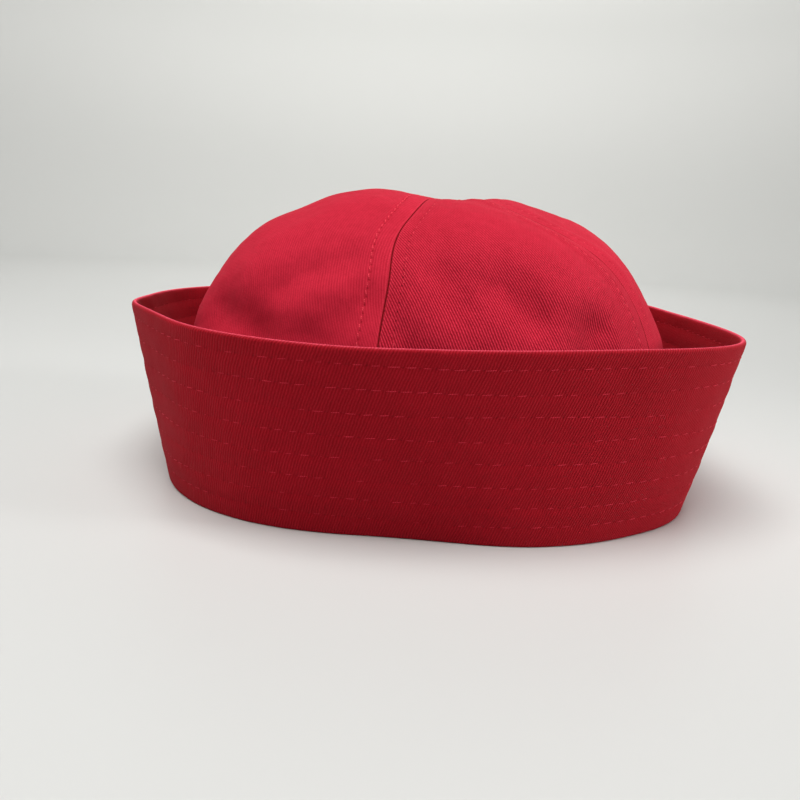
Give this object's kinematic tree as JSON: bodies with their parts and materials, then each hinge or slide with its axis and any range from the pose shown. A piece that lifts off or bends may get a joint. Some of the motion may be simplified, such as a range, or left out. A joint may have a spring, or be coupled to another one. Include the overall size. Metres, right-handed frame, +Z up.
{
  "type": "sailor cap",
  "caption": "Soft cotton sailor cap: a low domed crown of sewn gores inside a tall, stitched brim turned up all round, resting on its folded lower edge.",
  "frame": {"origin": "on the surface the cap rests on, under the middle of the brim's box in plan", "axes": "+X along the cap's long way, +Z up, and -Y towards the front"},
  "size_m": [0.2322, 0.2044, 0.1101],
  "materials": {
    "brim_twill": "stitched red cotton twill, matte",
    "crown_twill": "red cotton twill, matte"
  },
  "bodies": {
    "root": {"brim": "brim_twill", "crown_panel_front_left": "crown_twill", "crown_panel_front_right": "crown_twill", "crown_panel_back_right": "crown_twill", "crown_panel_back_left": "crown_twill"}
  },
  "joints": []
}
